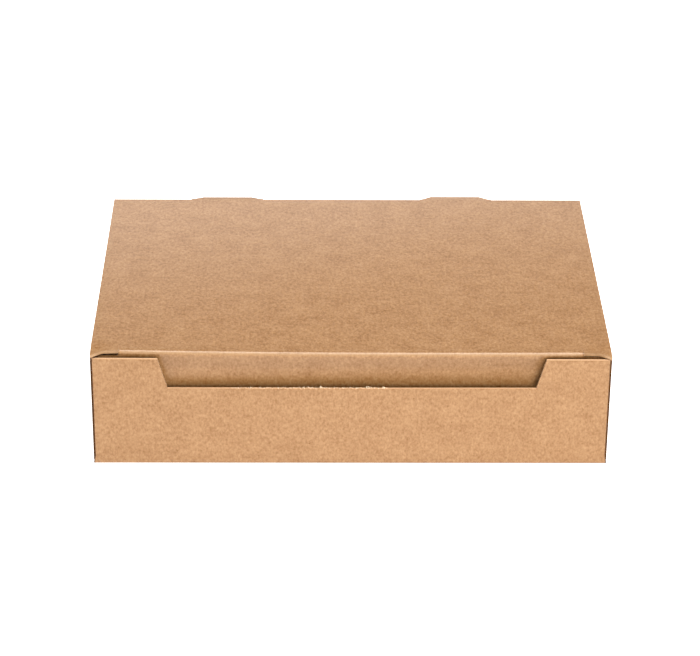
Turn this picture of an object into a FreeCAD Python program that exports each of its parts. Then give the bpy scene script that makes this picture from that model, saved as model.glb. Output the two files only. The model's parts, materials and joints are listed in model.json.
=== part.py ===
"""A one-piece corrugated card box with a hinged, tuck-in lid, in millimetres.

The box is die-cut from one sheet of kraft board, folded, and glued at its four corners. Its lid turns on the
crease along the top of the back wall, so the sheet is built as two solids that meet in that crease: the tray,
which is the floor, the walls, the corner tabs and the dust flaps, and the lid with its tuck flap.

X runs to the right, Y to the back and Z up, from the middle of the floor's underside. Each solid is a
PartDesign body. The board's cross-section is padded along its folds, and a flap's outline is cut or padded
flat.
"""

import FreeCAD, Part
import math
import os

import Sketcher

DOCUMENT = FreeCAD.newDocument("card_box")

# The driving dimensions. Walls and flaps are measured over the outside of the board.
SIZES = [
    ("board", 1.6, "thickness of the corrugated board"),
    ("crease", 0.4, "inner radius of a fold"),
    ("panel_width", 310, "front and back wall, from raw edge to raw edge"),
    ("box_depth", 220, "outside of the front wall to the outside of the back wall"),
    ("wall_height", 72, "front wall's top edge above the floor's underside"),
    ("side_step", 1.2, "how far a side wall stands out past the front wall's raw edge"),
    ("cutout_inset", 38.3, "thumb cut-out's top corners, in from the front wall's raw edges"),
    ("cutout_slope", 5.7, "thumb cut-out's bottom corners, in from its top corners"),
    ("cutout_drop", 19.2, "thumb cut-out's depth below the wall's top edge"),
    ("glue_tab_length", 30, "corner tab, from the outside of its side wall"),
    ("glue_tab_taper", 6, "corner tab: what its free end loses at the top and at the bottom"),
    ("glue_tab_drop", 1, "corner tab: its top edge below the front wall's"),
    ("glue_tab_foot", 3, "corner tab: its bottom edge above the floor's underside"),
    ("dust_flap_length", 62, "dust flap, from the outside of its side wall"),
    ("dust_flap_taper", 5, "dust flap: what its free end loses at the front and at the rear"),
    ("dust_flap_corner", 8, "dust flap: radius of its free corners"),
    ("dust_flap_gap", 1.5, "dust flap: room to the tuck flap, and to the swinging rear tabs"),
    ("lid_gap", 1, "lid's underside above the front wall's top edge"),
    ("lid_clearance", 0.3, "lid's underside above the dust flaps"),
    ("lid_overhang", 0.5, "how far the lid stands out past the front wall's raw edge"),
    ("fold_gap", 0.3, "slit between the tray and the lid, along the middle of the rear crease"),
    ("tuck_length", 31, "tuck flap, from the top of the lid to its free edge"),
    ("tuck_gap", 0.5, "tuck flap's outside behind the corner tabs"),
    ("tuck_lean", 5, "degrees that the tuck flap leans in past square"),
    ("tuck_inset", 7, "tuck flap's shoulder, in from the lid's raw edge"),
    ("tuck_taper", 6, "tuck flap: how much narrower it is on each side at its free edge"),
    ("tuck_corner", 12, "tuck flap: radius of its free corners"),
    ("slit_inset", 16, "end of the front crease, in from the lid's raw edge"),
    ("slit_gap", 0.4, "opening of the slits at the ends of the front crease"),
    ("slit_setback", 0.7, "slit's straight stretch, behind the tuck flap's outside"),
    ("slit_bend", 7.5, "where the slit turns to the lid's corner, in from the lid's raw edge"),
    ("ear_nose", 1, "blunt tip of the lid's front corner"),
    ("tab_base", 44, "rear tab's width at the crease"),
    ("tab_top", 32, "rear tab's width at its free edge"),
    ("tab_reach", 4, "rear tab, past the outside of the back wall"),
    ("tab_flare", 2, "radius where the rear tab's cut runs into the crease"),
    ("tab_inset", 79, "rear tab's middle, in from the back wall's raw edge"),
    ("tab_offset", -4, "how far the pair of rear tabs is shifted along X"),
    ("notch_clearance", 0.4, "room round a rear tab in the back wall's notch"),
]

SHEET = DOCUMENT.addObject("Spreadsheet::Sheet", "sizes")
for row, (alias, number, meaning) in enumerate(SIZES, start=1):
    SHEET.set(f"A{row}", str(number))
    SHEET.setAlias(f"A{row}", alias)
    SHEET.set(f"B{row}", meaning)
DOCUMENT.recompute()

# Lengths and places that follow from the sheet, as expressions.
BOARD = "sizes.board"
CREASE = "sizes.crease"
FOLD = "(sizes.board + sizes.crease)"  # outer radius of a fold
FACE = "(sizes.box_depth / 2)"  # outside of the back wall, and of the front wall at -FACE
FACE_INSIDE = f"({FACE} - {BOARD})"
PANEL_SIDE = "(sizes.panel_width / 2)"
LID_SIDE = f"({PANEL_SIDE} + sizes.lid_overhang)"
WALL_SIDE = f"({PANEL_SIDE} + sizes.side_step)"  # outside of a side wall
WALL_SIDE_INSIDE = f"({WALL_SIDE} - {BOARD})"
SIDE_FOLD = f"({WALL_SIDE} - {FOLD})"  # where the folds of a side wall start
END_FOLD = f"({FACE} - {FOLD})"  # where the folds of the front and the back wall start
SIDE_END = f"({FACE_INSIDE} - {FOLD})"  # where a side wall's corner folds start
WALL_TOP = "sizes.wall_height"
LID_UNDER = f"({WALL_TOP} + sizes.lid_gap)"
LID_TOP = f"({LID_UNDER} + {BOARD})"
DUST_TOP = f"({LID_UNDER} - sizes.lid_clearance)"
# The rear crease: the centre of its arc, and the middle of its outside, which is the hinge line.
CREASE_Y = END_FOLD
CREASE_Z = f"({LID_TOP} - {FOLD})"
HINGE_Y = f"({CREASE_Y} + {FOLD} * sqrt(0.5))"
HINGE_Z = f"({CREASE_Z} + {FOLD} * sqrt(0.5))"
# Where the tuck flap's outside would meet the top of the lid if their fold were sharp.
TUCK_Y = f"({BOARD} * 2 + sizes.tuck_gap - {FACE})"
PANEL_FRONT = f"({TUCK_Y} + {FOLD} * 2)"  # where the flat panel starts behind the front fold
CREASE_END = f"({LID_SIDE} - sizes.slit_inset)"
# The rear tabs' middles, the right-hand one first, and half their width at the crease with a flare.
TAB_CENTRES = [
    f"(sizes.tab_offset + {PANEL_SIDE} - sizes.tab_inset)",
    f"(sizes.tab_offset - {PANEL_SIDE} + sizes.tab_inset)",
]
TAB_MOUTH = "(sizes.tab_base / 2 + sizes.tab_flare)"

# What each pad adds to its body's volume and each pocket takes away, by the feature's name.
VOLUME_CHANGES = {}


def value(expression):
    """What an expression on the sheet comes to."""
    return float(SHEET.evalExpression(expression))


def halves(corners, centre="0"):
    """The right-hand and the left-hand half of a symmetric outline, whose corners give their half width."""
    right = [(f"{centre} + {across}", *rest) for across, *rest in corners]
    left = [(f"{centre} - {across}", *rest) for across, *rest in reversed(corners)]
    return right, left


def whole(corners, centre="0"):
    """A symmetric outline, from the corners of its right-hand half."""
    right, left = halves(corners, centre)
    return right + left


def place_point(sketch, element, position, across, up):
    """Ties one point of a sketch element to two expressions."""
    for kind, expression in (("DistanceX", across), ("DistanceY", up)):
        constraint = Sketcher.Constraint(kind, -1, 1, element, position, value(expression))
        index = sketch.addConstraint(constraint)
        sketch.setExpression(f"Constraints[{index}]", expression)


def draw_outline(sketch, corners):
    """Draws a closed outline. A corner is (across, up), or (across, up, radius) where it is rounded."""
    count = len(corners)
    points = [FreeCAD.Vector(value(corner[0]), value(corner[1]), 0) for corner in corners]
    radii = [value(corner[2]) if len(corner) > 2 else 0 for corner in corners]
    starts, ends, arcs = [], [], []
    for i, point in enumerate(points):
        before = (points[i - 1] - point).normalize()
        after = (points[(i + 1) % count] - point).normalize()
        reach = radii[i] / math.tan(before.getAngle(after) / 2)
        ends.append(point + before * reach)
        starts.append(point + after * reach)
        if radii[i]:
            inward = (before + after).normalize()
            centre = point + inward * math.hypot(reach, radii[i])
            arcs.append((i, centre, centre - inward * radii[i]))
    lines = []
    for i in range(count):
        line = Part.LineSegment(starts[i], ends[(i + 1) % count])
        lines.append(sketch.addGeometry(line))
    for i, corner in enumerate(corners):
        if not radii[i]:
            sketch.addConstraint(Sketcher.Constraint("Coincident", lines[i - 1], 2, lines[i], 1))
            place_point(sketch, lines[i], 1, corner[0], corner[1])
    for i, centre, middle in arcs:
        arc = sketch.addGeometry(Part.Arc(ends[i], middle, starts[i]))
        turn = (ends[i] - centre).cross(starts[i] - centre).z
        first, last = (1, 2) if turn > 0 else (2, 1)
        sketch.addConstraint(Sketcher.Constraint("Tangent", lines[i - 1], 2, arc, first))
        sketch.addConstraint(Sketcher.Constraint("Tangent", lines[i], 1, arc, last))
        radius = sketch.addConstraint(Sketcher.Constraint("Radius", arc, radii[i]))
        sketch.setExpression(f"Constraints[{radius}]", corners[i][2])
        sharp = sketch.addGeometry(Part.Point(points[i]), True)
        place_point(sketch, sharp, 1, corners[i][0], corners[i][1])
        for line in (lines[i - 1], lines[i]):
            sketch.addConstraint(Sketcher.Constraint("PointOnObject", sharp, 1, line))


def origin_plane(body, role):
    """One of a body's own three planes."""
    return next(feature for feature in body.Origin.OriginFeatures if feature.Role == role)


def new_sketch(body, name, plane, outlines, offset="0"):
    """A sketch of closed outlines on one of the body's own planes, or at an offset along its normal."""
    sketch = body.newObject("Sketcher::SketchObject", name)
    sketch.AttachmentSupport = [(origin_plane(body, plane), "")]
    sketch.MapMode = "FlatFace"
    sketch.setExpression("AttachmentOffset.Base.z", offset)
    for corners in outlines:
        draw_outline(sketch, corners)
    DOCUMENT.recompute()
    return sketch


def extrude(kind, body, name, sketch, length, symmetric=False, backwards=False):
    """A Pad or a Pocket of a sketch, which has to add or to take away material."""
    volume = body.Shape.Volume if body.Tip else 0
    feature = body.newObject(f"PartDesign::{kind}", name)
    feature.Profile = sketch
    feature.SideType = "Symmetric" if symmetric else "One side"
    feature.Reversed = backwards
    feature.setExpression("Length", length)
    DOCUMENT.recompute()
    change = body.Shape.Volume - volume
    if (change if kind == "Pad" else -change) <= 0:
        raise RuntimeError(f"{name} changes the volume of {body.Name} by {change}")
    VOLUME_CHANGES[name] = change
    return feature


def mirror(body, name, features, planes):
    """Repeats features across one plane, or across two planes for a copy in each quarter."""
    volume = body.Shape.Volume
    repeats = body.newObject("PartDesign::MultiTransform", name)
    repeats.Originals = features
    steps = []
    for plane in planes:
        step = body.newObject("PartDesign::Mirrored", f"{name}_{plane[:2].lower()}")
        step.MirrorPlane = (origin_plane(body, plane), [""])
        steps.append(step)
    repeats.Transformations = steps
    body.Tip = repeats
    DOCUMENT.recompute()
    # Every copy changes the volume as its original did, so half a copy less means that one is missing.
    copies = 2 ** len(planes) - 1
    one_set = sum(VOLUME_CHANGES[feature.Name] for feature in features)
    if body.Shape.Volume - volume < (copies - 0.5) * one_set:
        raise RuntimeError(f"{name} lacks a copy")


def cut_along_crease(body, keeps_wall):
    """Cuts the rear fold along the middle of its arc, and leaves the wall's half or the lid's."""
    shift = "- sizes.fold_gap * sqrt(0.5)" if keeps_wall else "+ sizes.fold_gap * sqrt(0.5)"
    inside = (f"{CREASE_Y} - {BOARD} * 2", f"{CREASE_Z} - {BOARD} * 2 {shift}")
    outside = (f"{CREASE_Y} + {FOLD} + {BOARD}", f"{CREASE_Z} + {FOLD} + {BOARD} {shift}")
    if keeps_wall:
        waste = [inside, outside, (inside[0], f"{LID_TOP} + {BOARD}")]
    else:
        waste = [inside, (outside[0], inside[1]), outside]
    sketch = new_sketch(body, f"{body.Name}_crease_cut", "YZ_Plane", [waste])
    extrude("Pocket", body, f"{body.Name}_crease_slit", sketch, f"{WALL_SIDE} * 4", symmetric=True)


def fold_floor_and_walls(body):
    """Front wall, floor and back wall, with the wall's share of the rear crease."""
    section = [
        (f"-{FACE}", WALL_TOP),
        (f"-{FACE}", "0", FOLD),
        (FACE, "0", FOLD),
        (FACE, LID_TOP, FOLD),
        (f"{CREASE_Y} - {BOARD}", LID_TOP),
        (f"{CREASE_Y} - {BOARD}", LID_UNDER),
        (FACE_INSIDE, LID_UNDER, CREASE),
        (FACE_INSIDE, BOARD, CREASE),
        (f"-{FACE_INSIDE}", BOARD, CREASE),
        (f"-{FACE_INSIDE}", WALL_TOP),
    ]
    sketch = new_sketch(body, "wall_section", "YZ_Plane", [section])
    extrude("Pad", body, "floor_and_walls", sketch, "sizes.panel_width", symmetric=True)
    cut_along_crease(body, keeps_wall=True)


def cut_thumb_cutout(body):
    """The low stretch of the front wall, where a thumb pushes the tuck flap in."""
    half_top = f"({PANEL_SIDE} - sizes.cutout_inset)"
    half_bottom = f"({half_top} - sizes.cutout_slope)"
    cutout = [
        (half_bottom, f"{WALL_TOP} - sizes.cutout_drop"),
        (half_top, WALL_TOP),
        (half_top, f"{WALL_TOP} + {BOARD}"),
    ]
    sketch = new_sketch(body, "cutout_outline", "XZ_Plane", [whole(cutout)])
    extrude("Pocket", body, "thumb_cutout", sketch, f"{FACE} + {BOARD}", backwards=True)


def cut_tab_notches(body):
    """The notches that the rear tabs were cut from, into which they swing as the lid opens."""
    room = "sizes.notch_clearance"
    step = f"{HINGE_Z} - {BOARD}"
    notch = [
        (f"(sizes.tab_top / 2 + {room})", f"{step} - ({FACE} - {HINGE_Y} + sizes.tab_reach) - {room}"),
        (f"(sizes.tab_base / 2 + {room})", step),
        (f"({TAB_MOUTH} + {room})", step),
        (f"({TAB_MOUTH} + {room})", f"{LID_TOP} + {BOARD}"),
    ]
    sketch = new_sketch(body, "notch_outlines", "XZ_Plane", [whole(notch, centre) for centre in TAB_CENTRES])
    extrude("Pocket", body, "tab_notches", sketch, f"{FACE} + {BOARD}")


def fold_side_walls(body):
    """Side walls and dust flaps, the right-hand pair first."""
    # The floor is cut back to where the side folds start.
    edge = [
        (SIDE_FOLD, f"-{END_FOLD}"),
        (WALL_SIDE, f"-{END_FOLD}"),
        (WALL_SIDE, END_FOLD),
        (SIDE_FOLD, END_FOLD),
    ]
    edges = [edge, [(f"-{across}", up) for across, up in edge]]
    sketch = new_sketch(body, "floor_edges", "XY_Plane", edges, offset=BOARD)
    extrude("Pocket", body, "floor_trim", sketch, f"{BOARD} * 2")

    flap_end = f"({WALL_SIDE} - sizes.dust_flap_length)"
    section = [
        (f"{SIDE_FOLD} - {BOARD}", "0"),
        (WALL_SIDE, "0", FOLD),
        (WALL_SIDE, DUST_TOP, FOLD),
        (flap_end, DUST_TOP),
        (flap_end, f"{DUST_TOP} - {BOARD}"),
        (WALL_SIDE_INSIDE, f"{DUST_TOP} - {BOARD}", CREASE),
        (WALL_SIDE_INSIDE, BOARD, CREASE),
        (f"{SIDE_FOLD} - {BOARD}", BOARD),
    ]
    sketch = new_sketch(body, "side_section", "XZ_Plane", [section])
    wall = extrude("Pad", body, "side_wall", sketch, f"{SIDE_END} * 2", symmetric=True)

    flap_front = f"({TUCK_Y} + {BOARD} * 2 + sizes.dust_flap_gap)"
    flap_rear = f"({CREASE_Y} - sizes.tab_reach - sizes.dust_flap_gap)"
    around_rear = f"({SIDE_END} + {CREASE})"
    around = [
        (f"{flap_end} - {BOARD}", f"-{around_rear}"),
        (f"{WALL_SIDE} + {BOARD}", f"-{around_rear}"),
        (f"{WALL_SIDE} + {BOARD}", around_rear),
        (f"{flap_end} - {BOARD}", around_rear),
    ]
    flap = [
        (WALL_SIDE, flap_front),
        (WALL_SIDE, flap_rear),
        (flap_end, f"{flap_rear} - sizes.dust_flap_taper", "sizes.dust_flap_corner"),
        (flap_end, f"{flap_front} + sizes.dust_flap_taper", "sizes.dust_flap_corner"),
    ]
    sketch = new_sketch(body, "dust_flap_outline", "XY_Plane", [around, flap], offset=DUST_TOP)
    trim = extrude("Pocket", body, "dust_flap_trim", sketch, FOLD)
    mirror(body, "left_side", [wall, trim], ["YZ_Plane"])


def fold_corner_tabs(body):
    """Tabs that turn in from the ends of the side walls, glued to the insides of the front and back wall."""
    tab_top = f"({WALL_TOP} - sizes.glue_tab_drop)"
    tab_face = f"({FACE_INSIDE} - {BOARD})"
    fold_end = f"({SIDE_FOLD} - {BOARD})"
    fold = [
        (WALL_SIDE, f"-({SIDE_END} - {BOARD})"),
        (WALL_SIDE, f"-{FACE_INSIDE}", FOLD),
        (fold_end, f"-{FACE_INSIDE}"),
        (fold_end, f"-{tab_face}"),
        (WALL_SIDE_INSIDE, f"-{tab_face}", CREASE),
        (WALL_SIDE_INSIDE, f"-({SIDE_END} - {BOARD})"),
    ]
    sketch = new_sketch(body, "corner_section", "XY_Plane", [fold], offset="sizes.glue_tab_foot")
    corner = extrude("Pad", body, "corner_fold", sketch, f"{tab_top} - sizes.glue_tab_foot")

    tab_end = f"({WALL_SIDE} - sizes.glue_tab_length)"
    outline = [
        (fold_end, "sizes.glue_tab_foot"),
        (fold_end, tab_top),
        (tab_end, f"{tab_top} - sizes.glue_tab_taper"),
        (tab_end, "sizes.glue_tab_foot + sizes.glue_tab_taper"),
    ]
    sketch = new_sketch(body, "glue_tab_outline", "XZ_Plane", [outline], offset=tab_face)
    tab = extrude("Pad", body, "glue_tab", sketch, BOARD)
    mirror(body, "corners", [corner, tab], ["YZ_Plane", "XZ_Plane"])


def fold_rear_crease(body):
    """The lid's share of the rear crease, which the rear tabs interrupt, because they run on flat."""
    section = [
        (f"{CREASE_Y} - {BOARD}", LID_TOP),
        (f"{CREASE_Y} - {BOARD}", LID_UNDER),
        (FACE_INSIDE, LID_UNDER, CREASE),
        (FACE_INSIDE, f"{CREASE_Z} - {BOARD}"),
        (FACE, f"{CREASE_Z} - {BOARD}"),
        (FACE, LID_TOP, FOLD),
    ]
    sketch = new_sketch(body, "rear_fold_section", "YZ_Plane", [section])
    extrude("Pad", body, "rear_fold", sketch, f"{LID_SIDE} * 2", symmetric=True)
    cut_along_crease(body, keeps_wall=False)
    window = [(TAB_MOUTH, CREASE_Y), (TAB_MOUTH, f"{FACE} + {BOARD}")]
    windows = [whole(window, centre) for centre in TAB_CENTRES]
    sketch = new_sketch(body, "tab_windows", "XY_Plane", windows, offset=f"{LID_TOP} + {BOARD}")
    extrude("Pocket", body, "rear_fold_windows", sketch, f"{FOLD} + {BOARD} * 3")


def fold_tuck_flap(body):
    """Front fold and tuck flap. The flap leans in past square, and the slits free its shoulders."""
    flap_low = f"({LID_TOP} - sizes.tuck_length * cos(sizes.tuck_lean))"
    flap_foot = f"({TUCK_Y} + sizes.tuck_length * sin(sizes.tuck_lean))"
    inner_corner = f"{TUCK_Y} + {BOARD} * (tan(sizes.tuck_lean) + 1 / cos(sizes.tuck_lean))"
    section = [
        (PANEL_FRONT, LID_TOP),
        (TUCK_Y, LID_TOP, FOLD),
        (flap_foot, flap_low),
        (f"{flap_foot} + {BOARD} * cos(sizes.tuck_lean)", f"{flap_low} + {BOARD} * sin(sizes.tuck_lean)"),
        (inner_corner, LID_UNDER, CREASE),
        (PANEL_FRONT, LID_UNDER),
    ]
    sketch = new_sketch(body, "tuck_section", "YZ_Plane", [section])
    flap_side = f"({LID_SIDE} - sizes.tuck_inset)"
    extrude("Pad", body, "tuck_flap", sketch, f"{flap_side} * 2", symmetric=True)

    shoulder = f"{LID_UNDER} - sizes.slit_gap"
    outline = [
        (f"({flap_side} - sizes.tuck_taper)", flap_low, "sizes.tuck_corner"),
        (flap_side, shoulder),
        (CREASE_END, shoulder),
        (CREASE_END, f"{LID_TOP} + {BOARD} / 2"),
    ]
    around = [
        (f"({flap_side} + {BOARD})", f"{flap_low} - {BOARD}"),
        (f"({flap_side} + {BOARD})", f"{LID_TOP} + {BOARD}"),
    ]
    sketch = new_sketch(body, "tuck_outline", "XZ_Plane", [whole(around), whole(outline)])
    extrude("Pocket", body, "tuck_trim", sketch, f"{FACE} + {BOARD}", backwards=True)


def add_panel(body):
    """The flat panel, with its front corners outside the slits and its rear tabs."""
    slit_side = f"({CREASE_END} + sizes.slit_gap)"
    slit_front = f"{TUCK_Y} + sizes.slit_setback"
    front_and_side = [
        (CREASE_END, PANEL_FRONT),
        (slit_side, PANEL_FRONT),
        (slit_side, slit_front),
        (f"({LID_SIDE} - sizes.slit_bend)", slit_front),
        (f"({LID_SIDE} - sizes.ear_nose)", f"-{FACE}"),
        (LID_SIDE, f"-{FACE}"),
        (LID_SIDE, CREASE_Y),
    ]
    tab = [
        (TAB_MOUTH, CREASE_Y),
        (TAB_MOUTH, HINGE_Y),
        ("sizes.tab_base / 2", HINGE_Y, "sizes.tab_flare"),
        ("sizes.tab_top / 2", f"{FACE} + sizes.tab_reach"),
    ]
    right, left = halves(front_and_side)
    rear_tabs = [corner for centre in TAB_CENTRES for corner in whole(tab, centre)]
    sketch = new_sketch(body, "panel_outline", "XY_Plane", [right + rear_tabs + left], offset=LID_UNDER)
    extrude("Pad", body, "panel", sketch, BOARD)


def build(name, steps):
    """A body of its own, made by its steps in order."""
    body = DOCUMENT.addObject("PartDesign::Body", name)
    body.Label = name
    for step in steps:
        step(body)
    return body


def check_and_export(bodies):
    """Stops on a failed feature or a shape that isn't one good solid, and writes each body's STEP file."""
    for thing in DOCUMENT.Objects:
        if "Invalid" in thing.State or "Error" in thing.State:
            raise RuntimeError(f"{thing.Name} failed: {thing.State}")
    for body in bodies:
        if body.Shape.isNull() or not body.Shape.isValid() or len(body.Shape.Solids) != 1:
            raise RuntimeError(f"{body.Label} isn't one good solid")
    os.makedirs("parts", exist_ok=True)
    for body in bodies:
        body.Shape.exportStep(f"parts/{body.Label}.step")
        box = body.Shape.BoundBox
        print(
            f"{body.Label}: {body.Shape.Volume / 1000:.1f} cm3,"
            f" X {box.XMin:.2f} to {box.XMax:.2f},"
            f" Y {box.YMin:.2f} to {box.YMax:.2f},"
            f" Z {box.ZMin:.2f} to {box.ZMax:.2f}"
        )
    print(f"hinge line: Y {value(HINGE_Y):.4f}, Z {value(HINGE_Z):.4f}")


walls = [fold_floor_and_walls, cut_thumb_cutout, cut_tab_notches]
tray = build("tray", walls + [fold_side_walls, fold_corner_tabs])
lid = build("lid", [fold_rear_crease, fold_tuck_flap, add_panel])
check_and_export([tray, lid])
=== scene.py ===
# %% [markdown]
# # A one-piece card box with a tuck-in lid
#
# The real box is one sheet of corrugated kraft board. A steel-rule die cuts its outline and presses its
# creases, and a folder then bends it up and glues its four corner tabs. This script makes it in the same
# order: it lays each panel out flat, bends the sheet along its creases, and only then gives it its paper.
# Two things follow from that. The folds have the soft radius of real board, and anything drawn on the flat
# sheet, such as paper mottle or the waves of the fluting, stays in step where it goes round a fold.

import json
import math

import bmesh
import bpy
import numpy as np
from mathutils import Matrix, Vector


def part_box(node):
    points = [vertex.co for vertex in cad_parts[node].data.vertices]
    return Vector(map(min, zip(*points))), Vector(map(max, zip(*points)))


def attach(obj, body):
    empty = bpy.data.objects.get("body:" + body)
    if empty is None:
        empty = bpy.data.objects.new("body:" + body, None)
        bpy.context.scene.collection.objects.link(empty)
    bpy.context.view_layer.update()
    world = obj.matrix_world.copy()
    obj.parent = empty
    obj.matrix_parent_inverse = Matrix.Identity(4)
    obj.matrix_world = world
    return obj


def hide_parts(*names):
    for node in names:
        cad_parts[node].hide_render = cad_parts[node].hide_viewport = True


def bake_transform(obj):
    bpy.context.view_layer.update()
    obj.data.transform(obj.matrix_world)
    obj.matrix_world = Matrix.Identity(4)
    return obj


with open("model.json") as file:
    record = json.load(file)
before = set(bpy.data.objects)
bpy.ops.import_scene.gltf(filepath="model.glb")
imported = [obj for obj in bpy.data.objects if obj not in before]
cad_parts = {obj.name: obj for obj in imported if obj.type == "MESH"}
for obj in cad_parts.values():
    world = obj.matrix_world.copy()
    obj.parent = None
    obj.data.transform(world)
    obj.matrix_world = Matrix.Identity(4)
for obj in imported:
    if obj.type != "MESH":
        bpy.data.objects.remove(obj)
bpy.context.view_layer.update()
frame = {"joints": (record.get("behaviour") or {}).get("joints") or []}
tray_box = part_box("tray")
lid_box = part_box("lid")
hinge = frame["joints"][0]

# %% [markdown]
# ## The driving sizes
#
# Lengths are in millimetres, because that is how a die-maker gives them, and they turn to metres only as
# a mesh is written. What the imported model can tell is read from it, so this script and the solids can't
# drift apart. The rest are the few dimensions that place the cut lines and creases on the sheet.

# %% Sizes
MM = 0.001
BOARD = 1.6  # thickness of the corrugated board
CREASE = 0.4  # inner radius of a fold
FOLD = BOARD + CREASE  # outer radius of a fold
QUARTER = FOLD * math.pi / 2  # outer face taken up by a square fold

WALL_SIDE = tray_box[1].x / MM  # outside of a side wall
FACE = tray_box[1].y / MM  # outside of the back wall
LID_SIDE = lid_box[1].x / MM
LID_TOP = lid_box[1].z / MM
TAB_END = lid_box[1].y / MM  # free edge of the lid's rear tabs
FLAP_LOW = lid_box[0].z / MM  # free edge of the tuck flap
HINGE_Y = hinge["pos_m"][1] / MM
HINGE_Z = hinge["pos_m"][2] / MM

PANEL_SIDE = WALL_SIDE - 1.2  # raw edge of the front and the back wall
WALL_TOP = 72.0  # top edge of the front wall
DUST_TOP = 72.7  # outside of the dust flaps
END_FOLD = FACE - FOLD  # where the floor turns up into the front and the back wall
SIDE_FOLD = WALL_SIDE - FOLD  # where it turns up into a side wall
SIDE_END = FACE - BOARD - FOLD  # where a side wall turns into its corner tabs
CREASE_Z = LID_TOP - FOLD  # where the back wall turns into the lid
print(f"fold radius {FOLD} mm, walls {WALL_TOP} mm high, lid on top at {LID_TOP:.1f} mm")

# %% [markdown]
# ## Grid lines
#
# A sheet that will be bent needs lines where it bends and where its outline has a corner. The first helper
# spreads lines between such stops, so that no stop is missed and no gap is wider than asked. The second
# says how far along a stretch a place lies, which is what each taper, bow and fade below is made from.


# %% Spaced lines and ramps
def spaced(*stops, step=4.0):
    """Numbers that pass through every stop. Each span is divided evenly, into parts no longer than step."""
    counts = [max(1, math.ceil(abs(b - a) / step - 1e-9)) for a, b in zip(stops, stops[1:])]
    spans = [np.linspace(a, b, n + 1)[:-1] for a, b, n in zip(stops, stops[1:], counts)]
    return np.concatenate(spans + [[stops[-1]]])


def ramp(place, start, end):
    """The share of the way from start to end: 0 before the start, and 1 past the end."""
    return np.clip((place - start) / (end - start), 0, 1)


print("lines over a 10 mm stretch:", spaced(0, 3, 10))

# %% [markdown]
# ## The fold
#
# A crease presses the board down along a line, so that it bends there and nowhere else. Blender has a
# Simple Deform modifier that bends, but it bends the whole mesh by one angle. A box needs a bend at each
# line with flat board between them, so the fold is worked out here, for all points at once.


# %% Fold along a crease
def fold(points, axis, line, degrees=90.0, side=1):
    """Bends what lies past a crease line. Height is measured from the outer face, which is at 0.

    How far a point lies past the line, divided by the fold's radius, is the angle that it has turned by,
    up to the full angle. It then stands (radius - height) out from the arc's centre at that angle, and
    what is left of its distance past the line goes straight on in the turned direction.
    """
    past = side * points[..., axis] - line
    turn = np.clip(past / FOLD, 0, math.radians(degrees))
    rest = past - turn * FOLD
    reach = FOLD - points[..., 2]
    bent = points.copy()
    bent[..., axis] = side * (line + reach * np.sin(turn) + rest * np.cos(turn))
    bent[..., 2] = FOLD - reach * np.cos(turn) + rest * np.sin(turn)
    return bent


def stretch_and_painted_light(points, axis, line, degrees=90.0, side=1):
    """Half a sine wave over a fold, from its start to its end: the stretched liner, drawn as paleness that is
    partly painted highlight.
    """
    past = side * points[..., axis] - line
    return np.sin(math.pi * ramp(past, 0, FOLD * math.radians(degrees)))


corner = fold(np.array([[0.0, QUARTER + 10, 0.0]]), axis=1, line=0)[0]
print("a point 10 mm past a square fold stands at", corner.round(2))

# %% [markdown]
# ## A panel of board
#
# Card isn't a surface but a slab, and its raw edges are what tells the eye that it is corrugated. A panel
# is laid out twice, as its outer and its inner face, with a strip between them along each edge that the
# die cut. Solidify would do that too, but it can't leave out the strip where two panels join, nor keep
# each point's place on the flat sheet, which the paper needs later.


# %% Lay out one panel
BOTH_SIDES = {"first_column": True, "last_column": True}  # cut edges of a panel
THREE_EDGES = BOTH_SIDES | {"last_row": True}  # and of one that hangs on a single fold


def lay_panel(u, v, cut):
    """A panel from the flat places (u, v) of a grid's points, each with shape (rows, columns).

    The outer face is the grid at height 0, and the inner face the same grid at the board's thickness. Each
    side named in cut gets a strip between the two faces. Its value is True, or says from the middles of
    the side's stretches (u, v) which of them were cut, where others run on into the next panel.
    """
    u, v = np.broadcast_arrays(np.asarray(u, float), np.asarray(v, float))
    rows, columns = u.shape
    flat = np.stack([u.ravel(), v.ravel()], 1)
    count = len(flat)
    outer = np.column_stack([flat, np.zeros(count)])
    inner = np.column_stack([flat, np.full(count, BOARD)])
    index = np.arange(count).reshape(rows, columns)
    near = [index[:-1, :-1], index[:-1, 1:], index[1:, 1:], index[1:, :-1]]
    quads = np.stack([corner.ravel() for corner in near], 1)
    du = flat[quads[:, 1]] - flat[quads[:, 0]]
    dv = flat[quads[:, 3]] - flat[quads[:, 0]]
    counterclockwise = (du[:, 0] * dv[:, 1] - du[:, 1] * dv[:, 0]).sum() > 0

    borders = {
        "first_row": index[0, :],
        "last_column": index[:, -1],
        "last_row": index[-1, ::-1],
        "first_column": index[::-1, 0],
    }
    strips, across = [], []
    for side, chosen in cut.items():
        a, b = borders[side][:-1], borders[side][1:]
        if chosen is not True:
            kept = chosen(*((flat[a] + flat[b]) / 2).T)
            a, b = a[kept], b[kept]
        along = np.abs(flat[b] - flat[a])
        strips.append(np.stack([a, b, b + count, a + count], 1))
        across.append(along[:, 1] / np.maximum(along.sum(1), 1e-9))
    rims = np.concatenate(strips) if strips else np.zeros((0, 4), int)
    if not counterclockwise:
        quads, rims = quads[:, ::-1], rims[:, ::-1]
    faces = np.concatenate([quads[:, ::-1], quads + count, rims])
    is_rim = np.concatenate([np.zeros(2 * len(quads), int), np.ones(len(rims), int)])
    waves = np.concatenate([np.zeros(2 * len(quads))] + across)
    points = np.concatenate([outer, inner])
    pale = np.zeros(len(points))
    bent = points.copy()
    return {"points": points, "bent": bent, "pale": pale, "faces": faces, "rim": is_rim, "waves": waves}


square = lay_panel([[0, 10]], [[0], [10]], THREE_EDGES)
print("one square, cut on three edges:", len(square["points"]), "points,", len(square["faces"]), "faces")
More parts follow.
